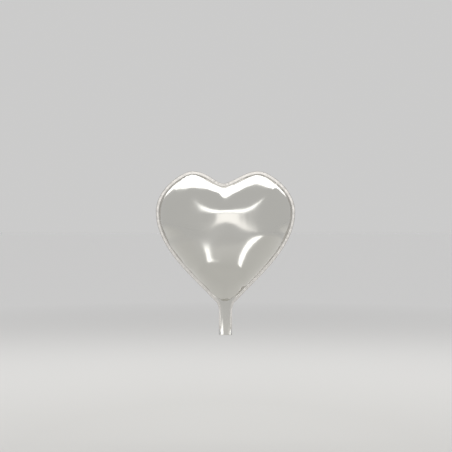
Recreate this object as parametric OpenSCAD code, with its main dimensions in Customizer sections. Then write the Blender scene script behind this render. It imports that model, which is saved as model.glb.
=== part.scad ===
// Heart-shaped foil balloon, inflated, with its filling tail and self-closing valve.
// Millimetres. The origin is the middle of the neck, where the tail joins the heart.
// +Z points up to the lobes, X runs across the heart and -Y is its front.

/* [Heart] */
// Width of the inflated heart across the weld rim
heart_w = 450; // [360:5:470]
// Height of the lobe tops above the neck
heart_h = 437; // [400:1:460]
// Height of the widest level above the neck
widest_z = 305; // [280:1:320]
// Distance of each lobe top from the middle
lobe_x = 108; // [95:1:120]
// Height of the bottom of the cleft above the neck
cleft_z = 396; // [370:1:405]
// Thickness of the inflated heart from front to back
heart_depth = 230; // [160:5:240]
// Height of the fullest point above the neck
full_z = 250; // [225:1:265]

/* [Foil] */
// Width of the welded rim outside the gas space
rim_w = 10; // [6:0.5:12]
// Thickness of each foil panel as drawn
foil_t = 0.5; // [0.3:0.1:0.8]

/* [Tail] */
// Width of the filling tail
tail_w = 42; // [32:1:50]
// Length of the filling tail below the neck
tail_len = 93; // [80:1:110]
// Gap between the valve films at the middle of the open mouth
mouth_gap = 8; // [6:0.5:10]
// Distance below the neck at which the tail starts to open
mouth_start = 30; // [20:1:40]
// Radius of the tail's lower corners
tail_corner = 8; // [2:1:12]
// Play between each foil and the valve film inside it
layer_gap = 0.1; // [0.05:0.05:0.2]
// Distance from the hinge line at the neck to the foil on each side of it
neck_gap = 2; // [1.5:0.5:3]

/* [Valve] */
// Thickness of each valve film as drawn
valve_t = 0.3; // [0.2:0.1:0.5]
// Width of each valve lip inside the heart
lip_w = 28; // [20:1:30]
// Height of the lower end of the lips above the neck
lip_start = 18; // [17:1:24]
// Length of each valve lip
lip_len = 56; // [40:1:70]
// Gap between the two lips
lip_gap = 0.3; // [0.2:0.1:0.6]

/* [Smoothness] */
// Points along each curve of the outline
curve_steps = 16; // [10:1:20]
// Rings from the fullest point to the weld
dome_rings = 10; // [8:1:12]

/* [Hidden] */

half_w = heart_w / 2;
half_tail = tail_w / 2;
foil_colour = [0.72, 0.71, 0.69];
valve_colour = [0.82, 0.86, 0.88, 0.6];

// Bezier handles of the outline, as lengths; the flank leaves the neck at flank_lean
flank_lean = 38;
flank_handle = 90;
side_handle = 128;
shoulder_handle = 78;
lobe_outer_handle = 28;
lobe_inner_handle = 48;
cleft_handle = 34;
cleft_lean = 80;

// Number of points along the neck between the two flanks
neck_steps = 4;

// Exponents of the inflated profile, towards the sides and towards the tip
side_power = 3;
side_root = 0.5;
tip_power = 2;
tip_root = 0.7;
tip_spread = 2;

// Steps of the tail film across and along
tail_across = 20;
tail_along = 10;

// Point on a cubic Bezier curve
function bezier(a, b, c, d, t) =
    a * pow(1 - t, 3) + 3 * b * t * pow(1 - t, 2) + 3 * c * t * t * (1 - t) + d * t * t * t;

// Points of a Bezier curve without its last one
function curve(a, b, c, d) = [for (i = [0 : curve_steps - 1]) bezier(a, b, c, d, i / curve_steps)];

// Unit direction in the XZ plane, as an angle from +Z towards +X
function lean(angle) = [sin(angle), cos(angle)];

// Right half of the rim's cut line, from the neck corner up to just before the cleft
function right_half() =
    let (
        neck = [half_tail, neck_gap],
        side = [half_w, widest_z],
        top = [lobe_x, heart_h],
        cleft = [0, cleft_z]
    )
    concat(
        curve(neck, neck + flank_handle * lean(flank_lean), side - [0, side_handle], side),
        curve(side, side + [0, shoulder_handle], top + [lobe_outer_handle, 0], top),
        curve(top, top - [lobe_inner_handle, 0], cleft + cleft_handle * lean(cleft_lean), cleft)
    );

// Closed cut line, anticlockwise seen from the front
function cut_line() =
    let (right = right_half(), last = len(right) - 1)
    concat(
        right,
        [[0, cleft_z]],
        [for (i = [last : -1 : 0]) [-right[i].x, right[i].y]],
        [for (i = [1 : neck_steps - 1]) [tail_w * (i / neck_steps - 0.5), neck_gap]]
    );

// A closed line moved inwards by a distance
function inset(line, distance) =
    let (n = len(line))
    [for (i = [0 : n - 1])
        let (along = line[(i + 1) % n] - line[(i + n - 1) % n])
        line[i] + distance * [-along.y, along.x] / norm(along)];

// Height of the inflated film over the weld plane, as a share of the full height.
// share is the distance from the fullest point as a part of the distance to the weld.
function swell(share, towards) =
    let (
        tip = pow(max(0, -towards.y / norm(towards)), tip_spread),
        power = side_power + (tip_power - side_power) * tip,
        root = side_root + (tip_root - side_root) * tip
    )
    pow(1 - pow(share, power), root);

// One ring of the dome at a share of the way from the fullest point to the weld line
function dome_ring(weld, share, wall) =
    let (middle = [0, full_z], height = heart_depth / 2 - foil_t)
    [for (p = weld)
        let (q = middle + share * (p - middle))
        [q.x, -(wall + height * swell(share, p - middle)), q.y]];

// A flat ring at a distance in front of the weld plane
function flat_ring(line, wall) = [for (p = line) [p.x, -wall, p.y]];

// Closed solid through rings with an even, equal number of points. Each end is closed
// by a strip that joins the ring's first half to its second.
module skin(rings) {
    n = len(rings[0]);
    last = (len(rings) - 1) * n;
    sides = [for (j = [0 : len(rings) - 2], i = [0 : n - 1])
        let (a = j * n + i, b = j * n + (i + 1) % n)
        each [[a, a + n, b + n], [a, b + n, b]]];
    start = [for (i = [0 : n / 2 - 2]) let (k = n - 1 - i)
        each [[i, i + 1, k - 1], [i, k - 1, k]]];
    end = [for (i = [0 : n / 2 - 2]) let (k = n - 1 - i)
        each [[last + i, last + k - 1, last + i + 1], [last + i, last + k, last + k - 1]]];
    polyhedron([for (ring = rings) each ring], concat(start, end, sides), convexity = 8);
}

// Half of the gas space's wall with half of the weld rim round it
module foil_panel() {
    cut = cut_line();
    weld = inset(cut, rim_w);
    foot = inset(cut, rim_w + foil_t);
    shares = [for (j = [1 : dome_rings]) 1 - pow(1 - j / dome_rings, 2)];
    skin(concat(
        [for (share = shares) dome_ring(foot, share, 0)],
        [flat_ring(cut, 0), flat_ring(cut, foil_t)],
        [for (j = [dome_rings - 1 : -1 : 0]) dome_ring(weld, shares[j], foil_t)]
    ));
}

// Opening of the tail: how far the films stand off the middle plane
function tail_bow(x, z) =
    let (
        down = max(0, (-z - mouth_start) / (tail_len - mouth_start)),
        across = x / (half_tail - rim_w / 2)
    )
    mouth_gap / 2 * down * pow(max(0, 1 - across * across), 1.5);

// Height of the tail's lower edge, with its rounded corners
function tail_end(x) =
    let (out = max(0, abs(x) - (half_tail - tail_corner)) / tail_corner)
    -tail_len + tail_corner * (1 - sqrt(max(0, 1 - out * out)));

// One film of the tail between two distances from the middle layer
module tail_film(near, far) {
    xs = [for (i = [0 : tail_across]) tail_w * (i / tail_across - 0.5)];
    function edge(step, offset, x) =
        let (z = -neck_gap + (tail_end(x) + neck_gap) * step / tail_along)
        [x, -(tail_bow(x, z) + offset), z];
    skin([for (step = [0 : tail_along])
        concat(
            [for (x = xs) edge(step, far, x)],
            [for (i = [tail_across : -1 : 0]) edge(step, near, xs[i])]
        )]);
}

// The foil of one side of the tail, outside the valve film
module tail_foil() {
    near = valve_t + layer_gap;
    tail_film(near, near + foil_t);
}

// One lip of the valve, a flat film with a rounded upper end
module valve_lip() {
    lip_corner = lip_w / 4;
    translate([0, -lip_gap / 2, 0])
        rotate([90, 0, 0])
            linear_extrude(valve_t)
                union() {
                    translate([-lip_w / 2, lip_start])
                        square([lip_w, lip_len - lip_corner]);
                    translate([-lip_w / 2 + lip_corner, lip_start])
                        square([lip_w - 2 * lip_corner, lip_len]);
                    for (side = [-1, 1])
                        translate([side * (lip_w / 2 - lip_corner), lip_start + lip_len - lip_corner])
                            circle(r = lip_corner, $fn = 32);
                }
}

module front_panel() {
    color(foil_colour) foil_panel();
}

module back_panel() {
    color(foil_colour) mirror([0, 1, 0]) foil_panel();
}

module front_tail() {
    color(foil_colour) tail_foil();
}

module back_tail() {
    color(foil_colour) mirror([0, 1, 0]) tail_foil();
}

module valve_front_film() {
    color(valve_colour) tail_film(0, valve_t);
}

module valve_back_film() {
    color(valve_colour) mirror([0, 1, 0]) tail_film(0, valve_t);
}

module valve_front_lip() {
    color(valve_colour) valve_lip();
}

module valve_back_lip() {
    color(valve_colour) mirror([0, 1, 0]) valve_lip();
}

front_panel();
back_panel();
front_tail();
back_tail();
valve_front_film();
valve_back_film();
valve_front_lip();
valve_back_lip();
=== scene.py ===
import math

import bmesh
import bpy
import numpy as np
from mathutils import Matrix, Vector
from mathutils.bvhtree import BVHTree
from mathutils.geometry import delaunay_2d_cdt


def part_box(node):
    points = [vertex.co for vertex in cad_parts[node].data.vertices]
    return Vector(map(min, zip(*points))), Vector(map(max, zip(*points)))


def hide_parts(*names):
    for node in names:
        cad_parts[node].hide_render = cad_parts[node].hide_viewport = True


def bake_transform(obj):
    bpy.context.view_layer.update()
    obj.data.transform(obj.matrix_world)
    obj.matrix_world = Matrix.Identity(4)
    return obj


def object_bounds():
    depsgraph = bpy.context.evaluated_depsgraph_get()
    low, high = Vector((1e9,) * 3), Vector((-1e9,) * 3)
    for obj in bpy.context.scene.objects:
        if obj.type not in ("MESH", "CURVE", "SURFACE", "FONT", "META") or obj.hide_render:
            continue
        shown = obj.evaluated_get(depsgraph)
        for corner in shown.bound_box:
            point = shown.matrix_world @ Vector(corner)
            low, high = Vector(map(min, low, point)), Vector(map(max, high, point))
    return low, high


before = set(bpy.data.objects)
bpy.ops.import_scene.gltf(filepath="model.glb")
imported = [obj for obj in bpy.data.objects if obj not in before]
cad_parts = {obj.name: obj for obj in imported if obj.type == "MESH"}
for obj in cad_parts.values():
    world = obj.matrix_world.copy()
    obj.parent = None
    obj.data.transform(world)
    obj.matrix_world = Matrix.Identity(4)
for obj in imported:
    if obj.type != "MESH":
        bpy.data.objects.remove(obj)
cad_low, cad_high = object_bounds()

MM = 0.001
SEED = 7

# The flat heart that is cut from the foil, before the gas draws it in. In metres, with
# the neck at the origin; the Bezier handles are lengths along the curve's direction.
FLAT = {
    "half_neck": 0.021,
    "half_width": 0.275,
    "widest_height": 0.373,
    "flank_lean": 50.7,
    "flank_handle": 0.167,
    "side_handle": 0.221,
    "shoulder_handle": 0.125,
    "lobe_x": 0.115,
    "lobe_height": 0.552,
    "lobe_outer_handle": 0.02,
    "lobe_inner_handle": 0.037,
    "cleft_height": 0.543,
    "cleft_lean": 86.2,
    "cleft_handle": -0.024,
}
# The width of the flat rim round the heart and of the weld down the tail, the height
# above the neck where the heart's gas space starts, and the rounding of the corners
RIM_WIDTH = 10 * MM
TAIL_WELD = 5 * MM
NECK_RIM = 3 * MM
CORNER_BLEND = 12 * MM
MOUTH_BLEND = 5 * MM
CURVE_STEPS = 160

# The simulation of the gas filling the flat balloon
SIM_STEP = 8 * MM
SIM_FRAMES = 30
SIM_QUALITY = 6
GAS_PRESSURE = 60
AIR_DAMPING = 3
POINT_MASS = 0.05
FOIL_TENSION = 80
FOIL_COMPRESSION = 4
FOIL_BENDING = 0.01
FOIL_DAMPING = 5
PINNED_BELOW = 2 * MM
# Each layer's start on its own side, and the shake in millimetres that lets it buckle
LAYER_START = 0.3 * MM
LAYER_SHAKE = 0.1
# A grid's shake, and its least distance from a line, as shares of its step
GRID_SHAKE = 0.15
GRID_GAP = 0.62
# Rounds of smoothing after the simulation, and how much its triangles are rounded off
FILM_SMOOTHING = 14
FILM_ROUNDING = 0.75

# Distances from the weld at which the finished mesh has rows of points
INNER_ROWS = [d * MM for d in (2, 4, 6.5, 9.5, 13, 17, 22, 28)]
OUTER_ROWS = [d * MM for d in (2.5, 5, 7.5)]
ROW_STEP = 1.8 * MM
FIELD_STEP = 8 * MM
TAIL_STEP = 2 * MM
# A row's step as a share of its distance from the weld, and the shares of that distance
# and of the step that a new point keeps from the weld and from earlier points
ROW_GROWTH = 0.45
ROW_SHARE = 0.93
ROW_CLEAR = 0.6
FIELD_CLEAR = 0.7

# The step of the fine weld line, and how many of its steps each average over it reaches
WELD_STEP = 0.5 * MM
SIMULATED_BLUR = 30
ANGLE_BLUR = 90
FINISHED_BLUR = 20
OUTWARD_BLUR = 10
SLIP_BLUR = 8

FOIL_THICKNESS = 0.2 * MM
FILM_THICKNESS = 0.1 * MM
# How far the foil and the valve films lie from the tail's middle plane
TAIL_OFFSET = 0.45 * MM
FILM_OFFSET = 0.05 * MM
# How far each sheet lies from the rim's middle plane, round the heart and at the neck
RIM_GAP = 0.03 * MM
NECK_GAP = 0.18 * MM
# Where the tail's flat film has fully become the heart's, above the neck
NECK_BLEND = 90 * MM
# The point about which the heart is drawn onto the CAD outline, how that fades inwards,
# how far the last shift at the weld reaches, and the film's least lean beside the weld
HUB_HEIGHT = 0.25
FIT_POWER = 1.5
FIT_LIMIT = 1.05
SLIP_REACH = 25 * MM
LEAST_LEAN = 0.3
# The lower tip is a wedge of this slope that starts more gently over the flare's height
TIP_SLOPE = 1.15
TIP_FLARE = 12 * MM
# The photo's cleft stands a little left of the middle
CLEFT_SHIFT = -7 * MM
CLEFT_WIDTH = 50 * MM

# The gathers along the weld: size beside the cleft, spread of size and height, reach into
# the film, extra height at the cleft and how far along the weld that extra goes
CRIMP_SIZE = 7 * MM
CRIMP_SPREAD = (0.65, 1.45)
CRIMP_HEIGHTS = (0.25, 1.0)
CRIMP_REACHES = (9, 34)
CRIMP_FREE_ENDS = (0.11, 0.17)
CRIMP_RISE = 2.5 * MM
CRIMP_HEIGHT = 1.7 * MM
CRIMP_TUCK = 0.3 * MM
CRIMP_TUCK_REACH = 8 * MM
CRIMP_RUFFLE = 0.4 * MM
CLEFT_CRIMPS = 1.0
CLEFT_CRIMP_REACH = 80 * MM

# Small swells and hollows that the flat pattern doesn't give: centre, reach and rise
SHAPE_TOUCHES = (
    (0, 0.375, 0.07, 0.027, 8 * MM),
    (-0.10, 0.405, 0.06, 0.025, -5 * MM),
    (0.10, 0.410, 0.05, 0.020, -1 * MM),
    (-0.007, 0.368, 0.0045, 0.014, -4 * MM),
)
TOUCH_CLEAR = 12 * MM
# The tail's lengthwise wrinkles: height, waves per millimetre across and along, and phase
TAIL_STREAKS = ((0.12, 0.45, 0.02, 0.6), (0.08, 0.70, -0.03, 1.7), (0.05, 1.05, 0.05, 0.3))
# The tail's opening towards its mouth, and its slight wave
TAIL_BOW = 0.9 * MM
BOW_START = 30 * MM
BOW_LENGTH = 63 * MM
TAIL_SWAY = 0.7 * MM
SWAY_RATE = 45

# The valve's films: their margin inside the tail's width, their distance from the mouth,
# their upper end and its half width
VALVE_MARGIN = 1.5 * MM
VALVE_START = 2.5 * MM
VALVE_TOP = 16 * MM
VALVE_TOP_HALF = 14 * MM
VALVE_STEP = 2 * MM
VALVE_COLUMNS = 20


# ---------------------------------------------------------------- the flat pattern


def bezier(a, b, c, d):
    """Points of a cubic Bezier curve without its last one."""
    t = np.linspace(0, 1, CURVE_STEPS, endpoint=False)[:, None]
    return a * (1 - t) ** 3 + 3 * b * t * (1 - t) ** 2 + 3 * c * t * t * (1 - t) + d * t**3


def lean(degrees):
    """Unit direction in the XZ plane, as an angle from +Z towards +X."""
    return np.array([math.sin(math.radians(degrees)), math.cos(math.radians(degrees))])


def lengths(line):
    """Distance along a polyline to each of its points."""
    return np.concatenate([[0], np.cumsum(np.linalg.norm(np.diff(line, axis=0), axis=1))])


def spaced(line, step):
    """A polyline resampled at about even steps, both ends kept."""
    along = lengths(line)
    at = np.linspace(0, along[-1], max(2, round(along[-1] / step)) + 1)
    return np.stack([np.interp(at, along, line[:, k]) for k in range(line.shape[1])], 1)


def averaged(line, reach):
    """A line's points averaged with their neighbours on each side, both ends kept."""
    weights = np.hanning(2 * reach + 3)[1:-1]
    head = 2 * line[0] - line[reach:0:-1]
    tail = 2 * line[-1] - line[-2 : -reach - 2 : -1]
    padded = np.concatenate([head, line, tail])
    columns = range(line.shape[1])
    return np.stack([np.convolve(padded[:, k], weights / weights.sum(), "valid") for k in columns], 1)


def softened(line, width):
    """A polyline with its corners rounded, both ends kept."""
    return averaged(spaced(line, MM), round(width / MM))


def heart_outline(flat):
    """The cut line from the neck's right corner, over both lobes, to its left corner."""
    neck = np.array([flat["half_neck"], 0.0])
    side = np.array([flat["half_width"], flat["widest_height"]])
    top = np.array([flat["lobe_x"], flat["lobe_height"]])
    cleft = np.array([0.0, flat["cleft_height"]])
    up, out = np.array([0.0, 1.0]), np.array([1.0, 0.0])
    flank = neck + flat["flank_handle"] * lean(flat["flank_lean"])
    notch = cleft + flat["cleft_handle"] * lean(flat["cleft_lean"])
    right = np.concatenate([
        bezier(neck, flank, side - flat["side_handle"] * up, side),
        bezier(side, side + flat["shoulder_handle"] * up, top + flat["lobe_outer_handle"] * out, top),
        bezier(top, top - flat["lobe_inner_handle"] * out, notch, cleft),
        [cleft],
    ])
    return softened(np.concatenate([right, right[-2::-1] * [-1, 1]]), CORNER_BLEND)


def moved_in(line, distance):
    """An open line shifted to its left, which is inwards on the outline."""
    along = np.gradient(line, axis=0)
    along /= np.linalg.norm(along, axis=1)[:, None]
    return line + distance * np.stack([-along[:, 1], along[:, 0]], 1)


def inside(loop, points):
    """Which points lie inside a closed loop."""
    x, z = points[:, 0], points[:, 1]
    found = np.zeros(len(points), bool)
    for (xa, za), (xb, zb) in zip(loop, np.roll(loop, -1, axis=0)):
        if za != zb:
            crosses = (za > z) != (zb > z)
            found ^= crosses & (x < (xb - xa) * (z - za) / (zb - za) + xa)
    return found


def nearest(line, points):
    """Index of the line's nearest point to each point, and the distance to it."""
    index = np.zeros(len(points), int)
    gap = np.zeros(len(points))
    for k, p in enumerate(points):
        away = (line[:, 0] - p[0]) ** 2 + (line[:, 1] - p[1]) ** 2
        index[k] = np.argmin(away)
        gap[k] = math.sqrt(away[index[k]])
    return index, gap


def triangulated(loops, chains, loose):
    """Triangles over closed loops, open chains and loose points in the XZ plane. Returns
    the points, the number of the given point that each came from, and the triangles."""
    edges, start = [], 0
    for loop in loops:
        edges += [(start + i, start + (i + 1) % len(loop)) for i in range(len(loop))]
        start += len(loop)
    for chain in chains:
        edges += [(start + i, start + i + 1) for i in range(len(chain) - 1)]
        start += len(chain)
    given = [Vector(p) for p in np.concatenate(loops + chains + [loose])]
    verts, _, faces, origins, _, _ = delaunay_2d_cdt(given, edges, [], 1, 1e-7)
    placed = np.array([tuple(v) for v in verts])
    source = np.array([min(o) if o else -1 for o in origins])
    faces = np.array([f for f in faces if len(f) == 3])
    a, b, c = (placed[faces[:, k]] for k in range(3))
    turned = (b - a)[:, 0] * (c - a)[:, 1] < (b - a)[:, 1] * (c - a)[:, 0]
    faces[turned] = faces[turned][:, ::-1]
    return placed, source, faces


def even_points(loop, step, shake, rng):
    """Points of a slightly shaken triangular grid inside a loop, clear of it."""
    low, high = loop.min(0), loop.max(0)
    rows = np.arange(low[1], high[1], step * math.sqrt(3) / 2)
    x, z = np.meshgrid(np.arange(low[0], high[0] + step, step), rows)
    x = x + (np.arange(len(rows)) % 2)[:, None] * step / 2
    grid = np.stack([x.ravel(), z.ravel()], 1)
    grid += rng.uniform(-shake, shake, grid.shape) * step
    grid = grid[inside(loop, grid)]
    return grid[nearest(loop, grid)[1] > GRID_GAP * step]


# ---------------------------------------------------------------- the inflated shape


def pillow(step):
    """The flat heart for the simulation: two layers joined along the weld, and the rim."""
    rng = np.random.default_rng(SEED)
    outline = heart_outline(FLAT)
    cut = spaced(outline, step)
    weld = moved_in(spaced(outline, MM), RIM_WIDTH)
    weld = spaced(weld[weld[:, 1] > NECK_RIM], step)
    points, source, faces = triangulated([cut, weld], [], even_points(weld, step, GRID_SHAKE, rng))
    middles = points[faces].mean(1)
    faces = faces[inside(cut, middles)]
    within = inside(weld, points[faces].mean(1))
    lined = np.where((source >= 0) & (source < len(cut) + len(weld)))[0]
    inner = np.setdiff1d(np.unique(faces[within]), lined)
    back = np.arange(len(points))
    back[inner] = len(points) + np.arange(len(inner))
    rest = np.zeros((len(points) + len(inner), 3))
    rest[: len(points), [0, 2]] = points
    rest[len(points) :, [0, 2]] = points[inner]
    rest[inner, 1] = -LAYER_START
    rest[back[inner], 1] = LAYER_START
    rest[:, 1] += rng.uniform(-LAYER_SHAKE, LAYER_SHAKE, len(rest)) * MM
    layers = {"front": faces[within], "back": back[faces[within]], "rim": faces[~within]}
    return rest, layers


def ordered_mesh(name, points, faces):
    """A mesh whose edges come in the same order whatever the number of processor threads,
    so that a simulation on it repeats."""
    built = bmesh.new()
    corners = [built.verts.new(point) for point in points.tolist()]
    for face in faces.tolist():
        built.faces.new([corners[k] for k in face])
    mesh = bpy.data.meshes.new(name)
    built.to_mesh(mesh)
    built.free()
    return mesh


def filled_with_gas(made, pinned):
    """Gives an object the Cloth modifier that blows it up. It resists stretching but
    hardly resists folding up, and the group of points named pinned stays in place."""
    cloth = made.modifiers.new("gas", "CLOTH")
    settings = cloth.settings
    settings.quality = SIM_QUALITY
    settings.mass = POINT_MASS
    settings.air_damping = AIR_DAMPING
    settings.tension_stiffness = FOIL_TENSION
    settings.compression_stiffness = FOIL_COMPRESSION
    settings.shear_stiffness = FOIL_COMPRESSION
    settings.bending_stiffness = FOIL_BENDING
    settings.tension_damping = FOIL_DAMPING
    settings.compression_damping = FOIL_DAMPING
    settings.shear_damping = FOIL_DAMPING
    settings.use_pressure = True
    settings.uniform_pressure_force = GAS_PRESSURE
    settings.vertex_group_mass = pinned
    settings.effector_weights.gravity = 0
    cloth.collision_settings.use_collision = False
    cloth.point_cache.frame_end = SIM_FRAMES


def inflated(rest, layers):
    """The pillow's points after gas has filled it and puckered it along its weld."""
    faces = np.concatenate([layers["front"], layers["back"][:, ::-1], layers["rim"]])
    mesh = ordered_mesh("pillow", rest, faces)
    pillow_object = bpy.data.objects.new("pillow", mesh)
    bpy.context.scene.collection.objects.link(pillow_object)
    neck = np.where(rest[:, 2] < PINNED_BELOW)[0]
    pillow_object.vertex_groups.new(name="neck").add(neck.tolist(), 1.0, "REPLACE")
    filled_with_gas(pillow_object, "neck")
    for step in range(1, SIM_FRAMES + 1):
        bpy.context.scene.frame_set(step)
    shown = pillow_object.evaluated_get(bpy.context.evaluated_depsgraph_get()).to_mesh()
    shape = np.zeros(len(rest) * 3)
    shown.vertices.foreach_get("co", shape)
    bpy.data.objects.remove(pillow_object)
    bpy.data.meshes.remove(mesh)
    bpy.context.scene.frame_set(1)
    return shape.reshape(-1, 3)


def normals_of(points, faces):
    """Vertex normals of a triangle mesh."""
    a, b, c = (points[faces[:, k]] for k in range(3))
    flat = np.cross(b - a, c - a)
    total = np.zeros_like(points)
    for k in range(3):
        np.add.at(total, faces[:, k], flat)
    return total / np.maximum(np.linalg.norm(total, axis=1), 1e-12)[:, None]


def smoothed(points, faces, times, keep=None):
    """A triangle mesh's points drawn towards their neighbours' average, several times."""
    pairs = np.concatenate([faces[:, [0, 1]], faces[:, [1, 2]], faces[:, [2, 0]]])
    pairs = np.unique(np.sort(pairs, axis=1), axis=0)
    count = np.bincount(pairs.ravel(), minlength=len(points))[:, None]
    share = 0.5 if keep is None else 0.5 * (1 - keep)[:, None]
    for _ in range(times):
        total = np.zeros_like(points)
        np.add.at(total, pairs[:, 0], points[pairs[:, 1]])
        np.add.at(total, pairs[:, 1], points[pairs[:, 0]])
        points = points + share * (total / np.maximum(count, 1) - points) * (count > 0)
    return points


def on_layer(flat_points, rest, shape, faces):
    """Where flat points lie on an inflated layer. Between the simulated corners the film
    is curved by the corners' normals, so that the coarse triangles don't show."""
    ground = rest * [1, 0, 1]
    tree = BVHTree.FromPolygons(ground.tolist(), faces.tolist())
    found = [tree.find_nearest(Vector((x, 0, z))) for x, z in flat_points]
    corners = faces[[hit[2] for hit in found]]
    flat_points = np.array([(hit[0].x, hit[0].z) for hit in found])
    a, b, c = (rest[corners[:, k]][:, [0, 2]] for k in range(3))

    def cross(u, v):
        return u[:, 0] * v[:, 1] - u[:, 1] * v[:, 0]

    whole = cross(b - a, c - a)
    first, second = cross(b - flat_points, c - flat_points), cross(c - flat_points, a - flat_points)
    shares = np.stack([first, second], 1) / whole[:, None]
    shares = np.concatenate([shares, 1 - shares.sum(1)[:, None]], 1)
    normals = normals_of(shape, faces)
    plain = (shares[:, :, None] * shape[corners]).sum(1)
    away = ((plain[:, None] - shape[corners]) * normals[corners]).sum(2)
    curved = plain - (shares[:, :, None] * away[:, :, None] * normals[corners]).sum(1)
    return (1 - FILM_ROUNDING) * plain + FILM_ROUNDING * curved


def levelled(shape, rim):
    """The inflated points with the plane of their rim turned into the XZ plane."""
    edge = shape[np.unique(rim)]
    plane = np.linalg.lstsq(np.c_[edge[:, [0, 2]], np.ones(len(edge))], edge[:, 1], rcond=None)[0]
    return shape - (np.c_[shape[:, [0, 2]], np.ones(len(shape))] @ plane)[:, None] * [0, 1, 0]


# ---------------------------------------------------------------- the finished sheets


def smooth_step(low, high, values):
    """0 below low, 1 above high and a smooth rise between."""
    t = np.clip((values - low) / (high - low), 0, 1)
    return t * t * (3 - 2 * t)


def weld_of(cut):
    """The weld line inside a cut line: a wide rim round the heart, a narrow one down the
    tail."""
    width = TAIL_WELD + (RIM_WIDTH - TAIL_WELD) * smooth_step(-12 * MM, 16 * MM, cut[:, 1])
    return moved_in(cut, width[:, None])


def with_tail(heart):
    """A heart's cut line lengthened down both sides of the tail to the mouth."""
    half = heart[0, 0]
    return softened(np.concatenate([[[half, cad_low.z]], heart, [[-half, cad_low.z]]]), CORNER_BLEND)


def finished_cut():
    """The cut line after inflation: the CAD heart's outline, and the tail's sides."""
    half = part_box("front_tail")[1].x
    limit = math.atan2(half, -HUB_HEIGHT)
    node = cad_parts["front_panel"]
    tree = BVHTree.FromObject(node, bpy.context.evaluated_depsgraph_get())
    line = []
    for angle in np.linspace(limit, -limit, 720):
        way = Vector((math.sin(angle), 0, math.cos(angle)))
        hub = Vector((0, -0.2 * MM, HUB_HEIGHT))
        reach = 1 - tree.ray_cast(hub + way, -way)[3]
        line.append((reach * way.x, HUB_HEIGHT + reach * way.z))
    line[0], line[-1] = (half, 0), (-half, 0)
    return with_tail(np.array(line))


def polar(line):
    """Angle and distance of points of the XZ plane about the hub."""
    x, rise = line[:, 0], line[:, 1] - HUB_HEIGHT
    return np.arctan2(x, rise), np.hypot(x, rise)


def with_rows(placed, cut, weld):
    """The points and, along both sides of the weld, rows of new ones."""
    for distance in [-d for d in OUTER_ROWS] + INNER_ROWS:
        step = max(ROW_STEP, ROW_GROWTH * distance)
        row = spaced(moved_in(weld, distance), step)
        row = row[inside(cut, row) & (row[:, 1] > cad_low.z + ROW_STEP)]
        row = row[nearest(weld, row)[1] > ROW_SHARE * abs(distance)]
        row = row[nearest(placed, row)[1] > ROW_CLEAR * step]
        placed = np.concatenate([placed, row])
    return placed


def with_fields(placed, cut):
    """The points and, where they leave room, a fine grid in the tail and a coarser one
    over the heart."""
    rng = np.random.default_rng(SEED)
    mouth, half = cad_low.z, FLAT["half_neck"]
    neck_box = np.array([[-half, mouth], [half, mouth], [half, RIM_WIDTH], [-half, RIM_WIDTH]])
    for loop, step, shake in ((neck_box, TAIL_STEP, 0), (cut, FIELD_STEP, GRID_SHAKE)):
        field = even_points(loop, step, shake, rng)
        field = field[inside(cut, field)]
        field = field[nearest(placed, field)[1] > FIELD_CLEAR * step]
        placed = np.concatenate([placed, field])
    return placed


def beside(weld, points):
    """For each point, the number of the weld line's nearest point and the distance to it,
    which is positive inside the weld."""
    index, gap = nearest(weld, points)
    below = [0, -RIM_WIDTH]
    within = inside(np.concatenate([[weld[0] + below], weld, [weld[-1] + below]]), points)
    return index, gap * np.where(within, 1, -1)


def sheet_pattern():
    """The cut foil with its tail as flat triangles, fine near the weld: the points, the
    triangles, the weld line, and each point's place along it and signed distance inside."""
    sides = with_tail(heart_outline(FLAT))
    weld = spaced(weld_of(spaced(sides, WELD_STEP)), WELD_STEP)
    bottom = [[0, cad_low.z]]
    cut = softened(np.concatenate([bottom, sides, bottom]), MOUTH_BLEND)
    cut = spaced(cut, ROW_STEP)[:-1]
    chain = spaced(weld, ROW_STEP)[1:-1]
    placed = with_fields(with_rows(np.concatenate([cut, chain]), cut, weld), cut)
    points, _, faces = triangulated([cut], [chain], placed[len(cut) + len(chain) :])
    faces = faces[inside(cut, points[faces].mean(1))]
    used, faces = np.unique(faces, return_inverse=True)
    points = points[used]
    index, gap = beside(weld, points)
    return points, faces.reshape(-1, 3), weld, index, gap


def tail_place(flat_points, side, offset):
    """Where the tail's flat points lie: a flat tube that opens towards its mouth, with
    lengthwise wrinkles. side is -1 for the front and 1 for the back."""
    x, z = flat_points[:, 0], flat_points[:, 1]
    half = FLAT["half_neck"] - TAIL_WELD
    down = np.clip((-z - BOW_START) / BOW_LENGTH, 0, 1)
    hollow = np.clip(1 - (x / half) ** 2, 0, 1)
    bow = TAIL_BOW * down * hollow**1.5
    streaks = 0
    for size, count, slant, phase in TAIL_STREAKS:
        streaks = streaks + size * (1 + np.sin((x * count + z * slant) / MM + side * phase))
    ruck = MM * streaks * hollow * smooth_step(10 * MM, -16 * MM, z)
    sway = TAIL_SWAY * np.sin(SWAY_RATE * z) * smooth_step(0, -40 * MM, z)
    return np.stack([x, side * (bow + offset * (0.4 + 0.6 * hollow) + ruck) + sway, z], 1)


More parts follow.
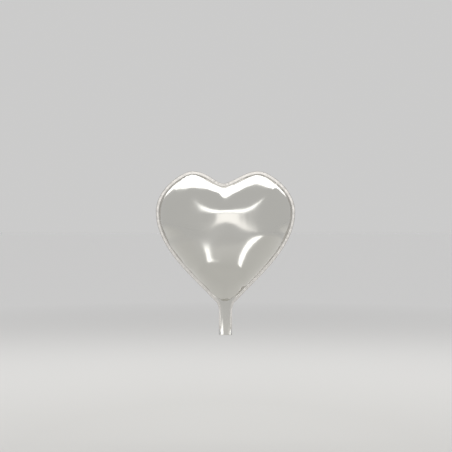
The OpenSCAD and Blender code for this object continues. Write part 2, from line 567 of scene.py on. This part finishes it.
class Crimps:
    """The small gathers along the weld: bead after bead of uneven length and height."""

    def __init__(self, weld, rng):
        self.along = lengths(weld)
        end = self.along[-1]
        edges = [0.0]
        while edges[-1] < end:
            from_cleft = abs(edges[-1] - end / 2)
            size = CRIMP_SIZE + CRIMP_SIZE * smooth_step(25 * MM, 110 * MM, from_cleft)
            edges.append(edges[-1] + size * rng.uniform(*CRIMP_SPREAD))
        self.edges = np.array(edges)
        self.heights = rng.uniform(*CRIMP_HEIGHTS, len(edges))
        self.reaches = rng.uniform(*CRIMP_REACHES, len(edges)) * MM
        from_cleft = np.abs(self.along - end / 2)
        self.strength = smooth_step(*CRIMP_FREE_ENDS, self.along)
        self.strength *= smooth_step(*CRIMP_FREE_ENDS, end - self.along)
        self.strength *= 1 + CLEFT_CRIMPS * np.exp(-((from_cleft / CLEFT_CRIMP_REACH) ** 2))

    def at(self, index):
        """At points of the weld line: the bead's profile, from 0 in a crease to 1 on its
        crest, its swing to either side, its height and its reach into the film."""
        position = np.interp(self.along[index], self.edges, np.arange(len(self.edges)))
        bead = np.minimum(position.astype(int), len(self.edges) - 2)
        swing = np.sin(math.pi * position)
        height = self.heights[bead] * self.strength[index]
        return np.abs(swing) ** 0.75, swing, height, self.reaches[bead]


def blown(flat_points, rest, shape, faces, side):
    """Where flat points lie once the heart is full of gas and the tail hangs below it."""
    heart = on_layer(flat_points, rest, shape, faces)
    heart[:, 1] *= cad_high.y / np.abs(shape[faces, 1]).max()
    rise = np.clip(heart[:, 2], MM, None)
    wedge = TIP_SLOPE * rise**2 / (rise + TIP_FLARE)
    heart[:, 1] /= (1 + (heart[:, 1] / wedge) ** 4) ** 0.25
    share = smooth_step(NECK_RIM, NECK_BLEND, flat_points[:, 1])[:, None]
    return (1 - share) * tail_place(flat_points, side, TAIL_OFFSET) + share * heart


def welds(weld, rest, shape, layers):
    """Places along the weld line as simulated and as finished, and the outward way there."""
    simulated = averaged(blown(weld, rest, shape, layers["front"], 0), SIMULATED_BLUR)
    at, reach = polar(weld_of(finished_cut()))
    angle, _ = polar(averaged(simulated, ANGLE_BLUR)[:, [0, 2]])
    order = np.argsort(at)
    reached = np.interp(angle, at[order], reach[order])
    finished = np.stack([reached * np.sin(angle), 0 * angle, HUB_HEIGHT + reached * np.cos(angle)], 1)
    share = smooth_step(0, RIM_WIDTH, weld[:, 1])[:, None]
    finished = averaged((1 - share) * tail_place(weld, 0, 0) + share * finished, FINISHED_BLUR)
    high = smooth_step(0.32, 0.38, finished[:, 2])
    finished[:, 0] += CLEFT_SHIFT * np.exp(-((finished[:, 0] / CLEFT_WIDTH) ** 2)) * high
    outward = (finished - np.insert(moved_in(finished[:, [0, 2]], MM), 1, 0, axis=1)) / MM
    return simulated, finished, averaged(outward, OUTWARD_BLUR)


def stretched(points, now, wanted):
    """Points drawn radially about the hub so that one line lands about on another."""
    at, reach = polar(now[:, [0, 2]])
    goal = polar(wanted[:, [0, 2]])[1]
    order = np.argsort(at)
    angle, r = polar(points[:, [0, 2]])
    full = np.interp(angle, at[order], reach[order], period=2 * math.pi)
    ratio = np.interp(angle, at[order], (goal / reach)[order], period=2 * math.pi)
    factor = 1 + (ratio - 1) * np.minimum(r / full, FIT_LIMIT) ** FIT_POWER
    heights = (points[:, 2] - HUB_HEIGHT) * factor + HUB_HEIGHT
    return np.stack([points[:, 0] * factor, points[:, 1], heights], 1)


def room_inside(weld, index):
    """The distance from the weld to the heart's middle line, for points of the weld's
    lower half. Higher up it is set wide."""
    return np.where(weld[index, 1] < HUB_HEIGHT, np.abs(weld[index, 0]), 1)


def fitted(side, pattern, rest, shape, layers, lines):
    """A sheet's points after inflation, drawn onto the finished outline at the weld."""
    flat_points, _, weld, index, gap = pattern
    simulated, finished, out = lines
    layer = layers["front" if side < 0 else "back"]
    place = blown(flat_points, rest, shape, layer, side)
    own = blown(weld, rest, shape, layer, 0)
    place = np.where((flat_points[:, 1] > 0)[:, None], stretched(place, simulated, finished), place)
    own = np.where((weld[:, 1] > 0)[:, None], stretched(own, simulated, finished), own)
    slip = averaged(finished - own, SLIP_BLUR) * smooth_step(-10 * MM, 20 * MM, weld[:, 1])[:, None]
    fade = np.exp(-np.abs(gap) / SLIP_REACH) * smooth_step(1, 0.4, gap / room_inside(weld, index))
    place += slip[index] * fade[:, None]
    depth = -((place - finished[index]) * out[index]).sum(1)
    short = np.clip(LEAST_LEAN * gap - depth, 0, None) * smooth_step(40 * MM, 15 * MM, gap)
    return place - out[index] * short[:, None]


def with_rim(place, side, pattern, lines):
    """A sheet's points with the flat welded rim laid round the weld."""
    flat_points, faces, _, index, gap = pattern
    _, finished, out = lines
    rim = finished[index] - out[index] * gap[:, None]
    rim[:, 1] += side * (RIM_GAP + (NECK_GAP - RIM_GAP) * smooth_step(30 * MM, 0, flat_points[:, 1]))
    place = np.where((gap >= 0)[:, None], place, rim)
    return smoothed(place, faces, 2, np.where(gap > 0.5 * MM, 0, 1))


def touched(place, side, gap):
    """A sheet's points with the small swells and hollows added."""
    for x, z, across, up, rise in SHAPE_TOUCHES:
        spread = ((place[:, 0] - x) / across) ** 2 + ((place[:, 2] - z) / up) ** 2
        away = 1 - np.exp(-np.clip(gap, 0, None) / TOUCH_CLEAR)
        place[:, 1] += side * rise * np.exp(-spread) * away
    return place


def gathered(place, side, pattern, out, crimps):
    """A sheet's points with the small gathers along the weld and the ruffled rim."""
    _, faces, _, index, gap = pattern
    normals = normals_of(place, faces)
    normals *= np.sign((normals[:, 1] * side).sum())
    profile, swing, height, reach = crimps.at(index)
    inner = np.clip(gap, 0, None)
    swell = CRIMP_HEIGHT * height * profile * (1 - np.exp(-inner / CRIMP_RISE)) * np.exp(-inner / reach)
    place += normals * (swell * (gap >= 0))[:, None]
    tuck = CRIMP_TUCK * height * (1 - profile) * np.exp(-np.abs(gap) / CRIMP_TUCK_REACH)
    place -= out[index] * tuck[:, None]
    place[:, 1] += CRIMP_RUFFLE * height * swing * np.clip(-gap / RIM_WIDTH, 0, 1)
    return place


def foil_points(side, pattern, rest, shape, layers, lines, crimps):
    """One foil sheet's points in space. side is -1 for the front and 1 for the back."""
    place = fitted(side, pattern, rest, shape, layers, lines)
    place = with_rim(place, side, pattern, lines)
    place = touched(place, side, pattern[-1])
    return gathered(place, side, pattern, lines[-1], crimps)


def mesh_object(name, points, faces, facts):
    """A smooth-shaded mesh object with a number at each point for every fact."""
    mesh = bpy.data.meshes.new(name)
    mesh.from_pydata(points.tolist(), [], faces.tolist())
    mesh.polygons.foreach_set("use_smooth", np.ones(len(mesh.polygons), bool))
    for fact, values in facts.items():
        mesh.attributes.new(fact, "FLOAT", "POINT").data.foreach_set("value", values.astype(float))
    mesh.update()
    made = bpy.data.objects.new(name, mesh)
    bpy.context.scene.collection.objects.link(made)
    return made


def thickened(made, thickness):
    """Gives a film its thickness, outwards from its faces."""
    solid = made.modifiers.new("thickness", "SOLIDIFY")
    solid.thickness = thickness
    solid.offset = 1
    return made


def foil_facts(weld, index, gap):
    """What the foil's material reads at each point: distance inside the weld, place along
    it, and how strongly the film is puckered."""
    pucker = smooth_step(45 * MM, 0, gap) * smooth_step(0.5, 0.2, gap / room_inside(weld, index))
    pucker = pucker * smooth_step(5 * MM, 40 * MM, weld[index, 1])
    return {"gap": gap / MM, "along": lengths(weld)[index] / MM, "pucker": pucker}


def flat_size(points, faces):
    """Width, length and area of a flat sheet of triangles."""
    a, b, c = (points[faces[:, k]] for k in range(3))
    area = 0.5 * np.abs((b - a)[:, 0] * (c - a)[:, 1] - (b - a)[:, 1] * (c - a)[:, 0]).sum()
    width, length = np.ptp(points, axis=0)
    return (float(width), float(length)), float(area)


def foil_sheets():
    """The front and back foil sheets, each from lobes to mouth, with their flat size and
    area."""
    rest, layers = pillow(SIM_STEP)
    shape = inflated(rest, layers)
    every = np.concatenate([layers["front"], layers["back"], layers["rim"]])
    shape = levelled(smoothed(shape, every, FILM_SMOOTHING), layers["rim"])
    pattern = sheet_pattern()
    flat_points, faces, weld, index, gap = pattern
    lines = welds(weld, rest, shape, layers)
    crimps = Crimps(weld, np.random.default_rng(SEED))
    facts = foil_facts(weld, index, gap)
    made = []
    for name, side, turned in (("foil_front", -1, faces), ("foil_back", 1, faces[:, ::-1])):
        points = foil_points(side, pattern, rest, shape, layers, lines, crimps)
        made.append(thickened(mesh_object(name, points, turned, facts), FOIL_THICKNESS))
    return made, *flat_size(flat_points, faces)


def valve_film(name, side):
    """One clear film of the valve, from the mouth to just inside the heart."""
    half = FLAT["half_neck"] - VALVE_MARGIN
    xs = np.linspace(-half, half, VALVE_COLUMNS)
    zs = np.arange(cad_low.z + VALVE_START, VALVE_TOP, VALVE_STEP)
    x, z = np.meshgrid(xs, zs)
    reach = half - (half - VALVE_TOP_HALF) * smooth_step(-2 * MM, VALVE_TOP, z)
    flat_points = np.stack([(x * reach / half).ravel(), z.ravel()], 1)
    n = len(xs)
    starts = [j * n + i for j in range(len(zs) - 1) for i in range(n - 1)]
    quads = [(k, k + 1, k + n + 1, k + n) for k in starts]
    faces = np.array(quads if side < 0 else [q[::-1] for q in quads])
    points = tail_place(flat_points, side, FILM_OFFSET)
    return thickened(mesh_object(name, points, faces, {}), FILM_THICKNESS)


# ---------------------------------------------------------------- materials

FOIL_COLOUR = (0.70, 0.692, 0.655, 1)
RIM_COLOUR = (0.73, 0.71, 0.68, 1)
FOIL_ROUGHNESS = (0.12, 0.19)
RIM_ROUGHNESS = 0.12
# The crinkles' fineness for each millimetre along the weld and away from it
CRINKLE_ALONG = 0.22
CRINKLE_AWAY = 0.015
# Heights and strengths of the foil's bumps, from large to small
ROLLING_BUMP = (1.2 * MM, 0.5)
CRINKLE_BUMP = (0.5 * MM, 0.6)
GRAIN_BUMP = (0.02 * MM, 0.25)
FILM_COLOUR = (0.86, 0.89, 0.90, 1)
FILM_ROUGHNESS = (0.18, 0.34)
FILM_COVER = (0.42, 0.6)
FILM_BUMP = (0.2 * MM, 0.4)
# Painted light: the floor is painted darker near the balloon, where the lamps light it, and paler far off,
# where only the room lights it, so that it looks evenly bright out to the horizon
NEAR_FLOOR_COLOUR_PAINTED_DARKER = (0.62, 0.615, 0.60, 1)
FAR_FLOOR_COLOUR_PAINTED_PALER = (0.98, 0.98, 0.98, 1)
FLOOR_ROUGHNESS = (0.8, 0.9)
# The middle part of a noise texture's values, where most of them lie
NOISE_RANGE = (0.3, 0.7)


def nodes_of(name):
    """A new material with its node tree and shader."""
    material = bpy.data.materials.new(name)
    material.use_nodes = True
    tree = material.node_tree
    return material, tree, tree.nodes["Principled BSDF"]


def noise(tree, vector, scale, detail=3.0, rough=0.5):
    """A noise texture on a vector."""
    made = tree.nodes.new("ShaderNodeTexNoise")
    made.inputs["Scale"].default_value = scale
    made.inputs["Detail"].default_value = detail
    made.inputs["Roughness"].default_value = rough
    tree.links.new(vector, made.inputs["Vector"])
    return made.outputs["Fac"]


def ramp(tree, value, low, high, start, end):
    """A value mapped from one range to another, clamped."""
    made = tree.nodes.new("ShaderNodeMapRange")
    for socket, number in zip(("From Min", "From Max", "To Min", "To Max"), (low, high, start, end)):
        made.inputs[socket].default_value = number
    tree.links.new(value, made.inputs["Value"])
    return made.outputs["Result"]


def maths(tree, kind, a, b):
    """A maths node on two values, each a socket or a number."""
    made = tree.nodes.new("ShaderNodeMath")
    made.operation = kind
    for socket, value in zip(made.inputs, (a, b)):
        if isinstance(value, (int, float)):
            socket.default_value = value
        else:
            tree.links.new(value, socket)
    return made.outputs[0]


def bump(tree, height, distance, strength, normal=None):
    """A bump from a height socket, on top of another bump if given."""
    made = tree.nodes.new("ShaderNodeBump")
    made.inputs["Distance"].default_value = distance
    made.inputs["Strength"].default_value = strength
    tree.links.new(height, made.inputs["Height"])
    if normal is not None:
        tree.links.new(normal, made.inputs["Normal"])
    return made.outputs["Normal"]


def mixed(tree, share, first, second):
    """A colour that goes from the first to the second as a share socket rises."""
    made = tree.nodes.new("ShaderNodeMix")
    made.data_type = "RGBA"
    made.inputs["A"].default_value = first
    made.inputs["B"].default_value = second
    tree.links.new(share, made.inputs["Factor"])
    return made.outputs["Result"]


def attribute(tree, name):
    """A mesh attribute's number."""
    made = tree.nodes.new("ShaderNodeAttribute")
    made.attribute_name = name
    return made.outputs["Fac"]


def foil_material():
    """Silver foil: a satin mirror, with faint rolling streaks, fine crinkles that fan out
    from the weld and a matter, slightly paler welded rim."""
    material, tree, shader = nodes_of("silver_foil")
    place = tree.nodes.new("ShaderNodeTexCoord").outputs["Object"]
    gap, along = attribute(tree, "gap"), attribute(tree, "along")
    rim = ramp(tree, gap, -0.6, 0.6, 1, 0)
    tree.links.new(mixed(tree, rim, FOIL_COLOUR, RIM_COLOUR), shader.inputs["Base Color"])
    shader.inputs["Metallic"].default_value = 1.0
    cloudy = ramp(tree, noise(tree, place, 9, 4), *NOISE_RANGE, *FOIL_ROUGHNESS)
    matter = maths(tree, "MULTIPLY", rim, RIM_ROUGHNESS)
    tree.links.new(maths(tree, "ADD", cloudy, matter), shader.inputs["Roughness"])
    fan = tree.nodes.new("ShaderNodeCombineXYZ")
    tree.links.new(maths(tree, "MULTIPLY", along, CRINKLE_ALONG), fan.inputs["X"])
    tree.links.new(maths(tree, "MULTIPLY", gap, CRINKLE_AWAY), fan.inputs["Y"])
    crinkle = maths(tree, "MULTIPLY", noise(tree, fan.outputs["Vector"], 1.0, 2), attribute(tree, "pucker"))
    drawn = tree.nodes.new("ShaderNodeMapping")
    drawn.inputs["Scale"].default_value = (1, 1, 0.3)
    tree.links.new(place, drawn.inputs["Vector"])
    normal = bump(tree, noise(tree, drawn.outputs["Vector"], 16, 2), *ROLLING_BUMP)
    normal = bump(tree, crinkle, *CRINKLE_BUMP, normal)
    normal = bump(tree, noise(tree, place, 900, 2), *GRAIN_BUMP, normal)
    tree.links.new(normal, shader.inputs["Normal"])
    return material


def film_material():
    """Clear polyethylene film, a little milky and uneven."""
    material, tree, shader = nodes_of("valve_polyethylene")
    place = tree.nodes.new("ShaderNodeTexCoord").outputs["Object"]
    shader.inputs["Base Color"].default_value = FILM_COLOUR
    shader.inputs["IOR"].default_value = 1.5
    rough = ramp(tree, noise(tree, place, 60, 3), *NOISE_RANGE, *FILM_ROUGHNESS)
    tree.links.new(rough, shader.inputs["Roughness"])
    cover = ramp(tree, noise(tree, place, 35, 2), *NOISE_RANGE, *FILM_COVER)
    tree.links.new(cover, shader.inputs["Alpha"])
    tree.links.new(bump(tree, noise(tree, place, 220, 3), *FILM_BUMP), shader.inputs["Normal"])
    return material


def floor_material():
    """A plain pale matt floor that pales towards the horizon: painted light, darker near the balloon where
    the lamps light it and paler far off where only the room lights it, so that it looks evenly as bright as
    the room.
    """
    material, tree, shader = nodes_of("pale_floor")
    place = tree.nodes.new("ShaderNodeTexCoord").outputs["Object"]
    away = tree.nodes.new("ShaderNodeVectorMath")
    away.operation = "LENGTH"
    tree.links.new(place, away.inputs[0])
    # Painted light: the floor's colour pales with distance from the middle, making up for the lamps' light
    # that falls off away from the balloon
    far = ramp(tree, away.outputs["Value"], 0.8, 5, 0, 1)
    tree.links.new(mixed(tree, far, NEAR_FLOOR_COLOUR_PAINTED_DARKER, FAR_FLOOR_COLOUR_PAINTED_PALER), shader.inputs["Base Color"])
    rough = ramp(tree, noise(tree, place, 4, 3), *NOISE_RANGE, *FLOOR_ROUGHNESS)
    tree.links.new(rough, shader.inputs["Roughness"])
    shader.inputs["Specular IOR Level"].default_value = 0.1
    return material


# ---------------------------------------------------------------- camera, light and floor

CAMERA_DISTANCE = 2.6
VIEW_WIDTH = 1.459
VIEW_CENTRE = (0.0016, 0.0, 0.2595)
LIT_POINT = (0, 0, 0.22)
ROOM_COLOUR = (0.60, 0.598, 0.595, 1)
CARD_COLOUR = (1, 0.975, 0.95)
FLOOR_DROP = 0.36
FLOOR_REACH = 80.0


def add_camera():
    """The camera, level and square to the balloon's front."""
    data = bpy.data.cameras.new("camera")
    data.lens = data.sensor_width * CAMERA_DISTANCE / VIEW_WIDTH
    camera = bpy.data.objects.new("camera", data)
    camera.location = Vector(VIEW_CENTRE) + Vector((0, -CAMERA_DISTANCE, 0))
    camera.rotation_euler = (math.radians(90), 0, 0)
    bpy.context.scene.collection.objects.link(camera)
    bpy.context.scene.camera = camera


def add_panel(name, azimuth, elevation, distance, size, brightness, turn=0, colour=(1, 1, 1)):
    """A soft rectangular light of size (width, height), which faces the balloon from a
    direction: azimuth from the camera's side towards +X. Its surface has the given
    brightness, where 1 is white, and turn tips it over sideways."""
    data = bpy.data.lights.new(name, "AREA")
    data.shape = "RECTANGLE"
    data.size, data.size_y = size
    data.energy = brightness * math.pi * size[0] * size[1]
    data.color = colour
    across, up = math.radians(azimuth), math.radians(elevation)
    way = Vector((math.sin(across) * math.cos(up), -math.cos(across) * math.cos(up), math.sin(up)))
    lamp = bpy.data.objects.new(name, data)
    lamp.location = Vector(LIT_POINT) + distance * way
    lamp.rotation_euler = (-way).to_track_quat("-Z", "Y").to_euler()
    lamp.rotation_euler.rotate_axis("Z", math.radians(turn))
    lamp.visible_camera = False
    bpy.context.scene.collection.objects.link(lamp)


def add_lights():
    """A wide softbox overhead, one above the camera over a dimmer card, two low panels on
    either side, and an even pale room."""
    add_panel("overhead", 180, 58, 1.9, (4.0, 2.3), 1.5)
    add_panel("front_strip", 0, 34, 3.0, (2.8, 0.5), 1.35)
    add_panel("front_card", 2, 14, 3.0, (2.2, 1.4), 0.76, colour=CARD_COLOUR)
    add_panel("low_left", -18, -22, 0.92, (0.12, 0.38), 1.35, turn=18)
    add_panel("low_right", 26, -24, 0.85, (0.15, 0.40), 1.35, turn=-16)
    world = bpy.data.worlds.new("studio")
    world.use_nodes = True
    world.node_tree.nodes["Background"].inputs["Color"].default_value = ROOM_COLOUR
    bpy.context.scene.world = world


def add_floor():
    """A wide plain floor some way below the tail."""
    data = bpy.data.meshes.new("floor")
    size, height = FLOOR_REACH, cad_low.z - FLOOR_DROP
    corners = [(-size, -size, height), (size, -size, height), (size, size, height), (-size, size, height)]
    data.from_pydata(corners, [], [(0, 1, 2, 3)])
    data.materials.append(floor_material())
    floor = bpy.data.objects.new("floor", data)
    bpy.context.scene.collection.objects.link(floor)


# ---------------------------------------------------------------- the balloon

# Each valve film's name, its side, -1 for the front and 1 for the back, and the CAD part that it takes the
# place of
VALVE_FILMS = (
    ("valve_film_front", -1, "valve_front_film"),
    ("valve_film_back", 1, "valve_back_film"),
)

bpy.context.scene.view_settings.view_transform = "Standard"
add_camera()
add_lights()
add_floor()

foil = foil_material()
film = film_material()

(foil_front, foil_back), foil_size, foil_area = foil_sheets()
for sheet, nodes in ((foil_front, ("front_panel", "front_tail")), (foil_back, ("back_panel", "back_tail"))):
    sheet.data.materials.append(foil)
    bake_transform(sheet)
    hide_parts(*nodes)

for name, side, node in VALVE_FILMS:
    made = valve_film(name, side)
    made.data.materials.append(film)
    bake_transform(made)
    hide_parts(node)

for node in ("valve_front_lip", "valve_back_lip"):
    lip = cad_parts[node]
    lip.data.materials.clear()
    lip.data.materials.append(film)
